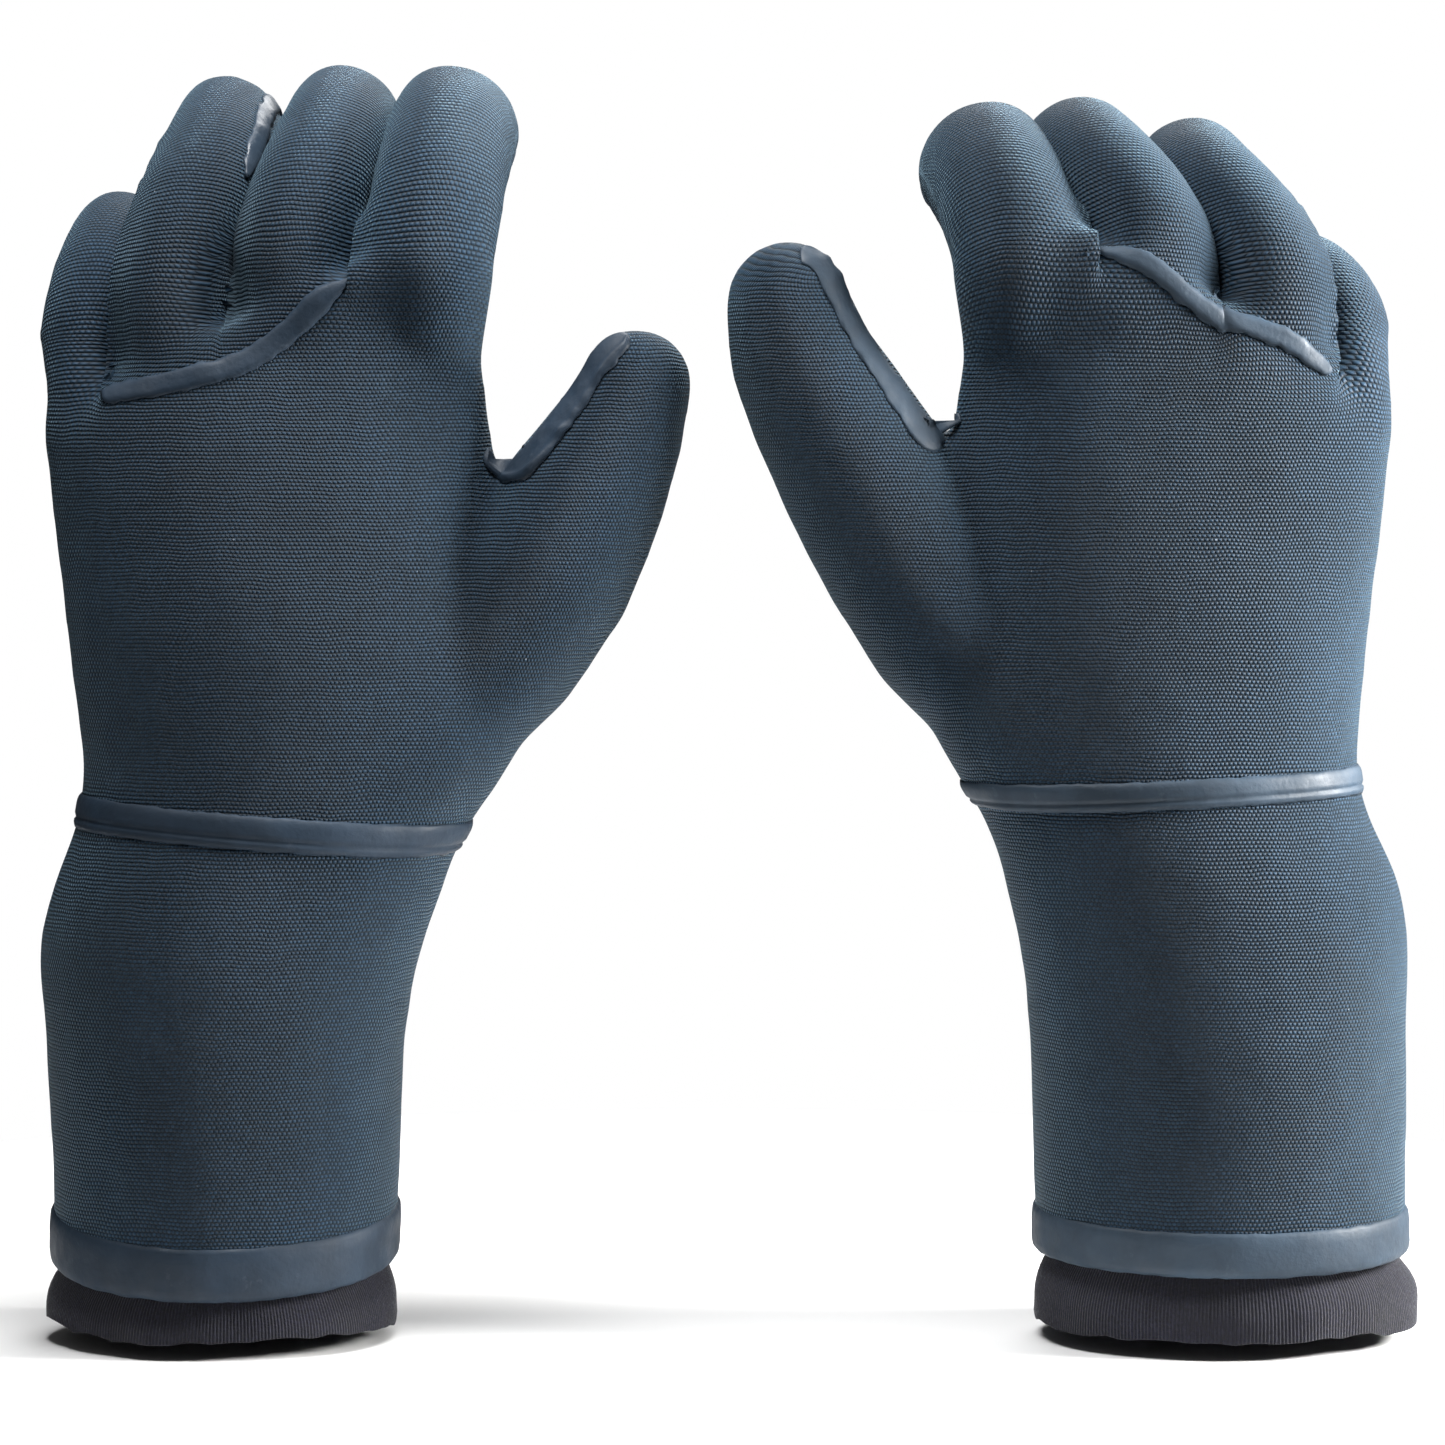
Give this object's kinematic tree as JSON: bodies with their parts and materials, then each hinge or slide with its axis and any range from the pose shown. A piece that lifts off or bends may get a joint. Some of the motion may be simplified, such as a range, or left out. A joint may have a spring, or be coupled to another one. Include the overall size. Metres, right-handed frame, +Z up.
{
  "type": "sailing gloves",
  "caption": "Pair of long-cuff neoprene five-finger sailing gloves with taped seams, knitted cuff liners, and fingers, thumbs and wrists that bend.",
  "frame": {"origin": "centre of the bounding box's base, on the floor that the cuffs stand on", "axes": "+Z up along the hands, -Y towards the backs of the hands, +X from the left glove to the right glove"},
  "size_m": [0.3171, 0.0938, 0.2921],
  "materials": {
    "neoprene": "dotted knit face on foam neoprene, dark slate navy",
    "seam_tape": "satin liquid rubber tape",
    "liner_knit": "fine ribbed knit"
  },
  "bodies": {
    "left_cuff": {"left_cuff_panel": "neoprene", "left_cuff_end_tape": "seam_tape", "left_wrist_seam_tape": "seam_tape", "left_cuff_liner": "liner_knit", "left_wrist_flex_panel": "neoprene"},
    "left_index": {"left_index_back_panel": "neoprene", "left_index_palm_panel": "neoprene", "left_index_seam_tape": "seam_tape"},
    "left_middle": {"left_middle_back_panel": "neoprene", "left_middle_palm_panel": "neoprene", "left_middle_seam_tape": "seam_tape"},
    "left_ring": {"left_ring_back_panel": "neoprene", "left_ring_palm_panel": "neoprene", "left_ring_seam_tape": "seam_tape"},
    "left_little": {"left_little_back_panel": "neoprene", "left_little_palm_panel": "neoprene", "left_little_seam_tape": "seam_tape"},
    "left_thumb": {"left_thumb_back_panel": "neoprene", "left_thumb_palm_panel": "neoprene", "left_thumb_seam_tape": "seam_tape"},
    "left_hand": {"left_finger_base_seam_tape": "seam_tape", "left_hand_back_panel": "neoprene", "left_palm_panel": "neoprene", "left_index_knuckle_flex": "neoprene", "left_middle_knuckle_flex": "neoprene", "left_ring_knuckle_flex": "neoprene", "left_little_knuckle_flex": "neoprene", "left_thumb_flex": "neoprene"},
    "right_cuff": {"right_cuff_panel": "neoprene", "right_cuff_end_tape": "seam_tape", "right_wrist_seam_tape": "seam_tape", "right_cuff_liner": "liner_knit", "right_wrist_flex_panel": "neoprene"},
    "right_index": {"right_index_back_panel": "neoprene", "right_index_palm_panel": "neoprene", "right_index_seam_tape": "seam_tape"},
    "right_middle": {"right_middle_back_panel": "neoprene", "right_middle_palm_panel": "neoprene", "right_middle_seam_tape": "seam_tape"},
    "right_ring": {"right_ring_back_panel": "neoprene", "right_ring_palm_panel": "neoprene", "right_ring_seam_tape": "seam_tape"},
    "right_little": {"right_little_back_panel": "neoprene", "right_little_palm_panel": "neoprene", "right_little_seam_tape": "seam_tape"},
    "right_thumb": {"right_thumb_back_panel": "neoprene", "right_thumb_palm_panel": "neoprene", "right_thumb_seam_tape": "seam_tape"},
    "right_hand": {"right_finger_base_seam_tape": "seam_tape", "right_hand_back_panel": "neoprene", "right_palm_panel": "neoprene", "right_index_knuckle_flex": "neoprene", "right_middle_knuckle_flex": "neoprene", "right_ring_knuckle_flex": "neoprene", "right_little_knuckle_flex": "neoprene", "right_thumb_flex": "neoprene"}
  },
  "joints": [
    {"name": "left_wrist_bend", "type": "hinge", "parent": "left_cuff", "child": "left_hand", "pos_m": [-0.1005, -0.01163, 0.128], "axis": [-1, 0, 0], "range_deg": [-28, 28], "stiffness_Nm_per_rad": 1.5, "deforming": ["left_wrist_flex_panel"]},
    {"name": "left_index_bend", "type": "hinge", "parent": "left_hand", "child": "left_index", "pos_m": [-0.068, -0.01163, 0.248], "axis": [-1, 0, 0], "range_deg": [-15, 60], "stiffness_Nm_per_rad": 0.12, "deforming": ["left_index_knuckle_flex"]},
    {"name": "left_middle_bend", "type": "hinge", "parent": "left_hand", "child": "left_middle", "pos_m": [-0.095, -0.01363, 0.248], "axis": [-1, 0, 0], "range_deg": [-15, 60], "stiffness_Nm_per_rad": 0.12, "deforming": ["left_middle_knuckle_flex"]},
    {"name": "left_ring_bend", "type": "hinge", "parent": "left_hand", "child": "left_ring", "pos_m": [-0.122, -0.01063, 0.238], "axis": [-1, 0, 0], "range_deg": [-13, 62], "stiffness_Nm_per_rad": 0.12, "deforming": ["left_ring_knuckle_flex"]},
    {"name": "left_little_bend", "type": "hinge", "parent": "left_hand", "child": "left_little", "pos_m": [-0.1468, -0.00563, 0.229], "axis": [-1, 0, 0], "range_deg": [-19, 56], "stiffness_Nm_per_rad": 0.12, "deforming": ["left_little_knuckle_flex"]},
    {"name": "left_thumb_bend", "type": "hinge", "parent": "left_hand", "child": "left_thumb", "pos_m": [-0.0465, -0.01163, 0.166], "axis": [-0.9135, 0, 0.4067], "range_deg": [-15, 35], "stiffness_Nm_per_rad": 0.2, "deforming": ["left_thumb_flex"]},
    {"name": "right_wrist_bend", "type": "hinge", "parent": "right_cuff", "child": "right_hand", "pos_m": [0.1005, -0.01163, 0.128], "axis": [-1, 0, 0], "range_deg": [-28, 28], "stiffness_Nm_per_rad": 1.5, "deforming": ["right_wrist_flex_panel"]},
    {"name": "right_index_bend", "type": "hinge", "parent": "right_hand", "child": "right_index", "pos_m": [0.068, -0.01163, 0.248], "axis": [-1, 0, 0], "range_deg": [-31, 44], "stiffness_Nm_per_rad": 0.12, "deforming": ["right_index_knuckle_flex"]},
    {"name": "right_middle_bend", "type": "hinge", "parent": "right_hand", "child": "right_middle", "pos_m": [0.095, -0.01363, 0.248], "axis": [-1, 0, 0], "range_deg": [-25, 50], "stiffness_Nm_per_rad": 0.12, "deforming": ["right_middle_knuckle_flex"]},
    {"name": "right_ring_bend", "type": "hinge", "parent": "right_hand", "child": "right_ring", "pos_m": [0.122, -0.01063, 0.24], "axis": [-1, 0, 0], "range_deg": [-23, 52], "stiffness_Nm_per_rad": 0.12, "deforming": ["right_ring_knuckle_flex"]},
    {"name": "right_little_bend", "type": "hinge", "parent": "right_hand", "child": "right_little", "pos_m": [0.1468, -0.00563, 0.231], "axis": [-1, 0, 0], "range_deg": [-41, 34], "stiffness_Nm_per_rad": 0.12, "deforming": ["right_little_knuckle_flex"]},
    {"name": "right_thumb_bend", "type": "hinge", "parent": "right_hand", "child": "right_thumb", "pos_m": [0.044, -0.01163, 0.1715], "axis": [-0.9135, 0, -0.4067], "range_deg": [-15, 35], "stiffness_Nm_per_rad": 0.2, "deforming": ["right_thumb_flex"]},
    {"name": "pair_spacing", "type": "slide", "parent": "left_cuff", "child": "right_cuff", "axis": [1, 0, 0], "range_m": [0, 0.1]}
  ]
}
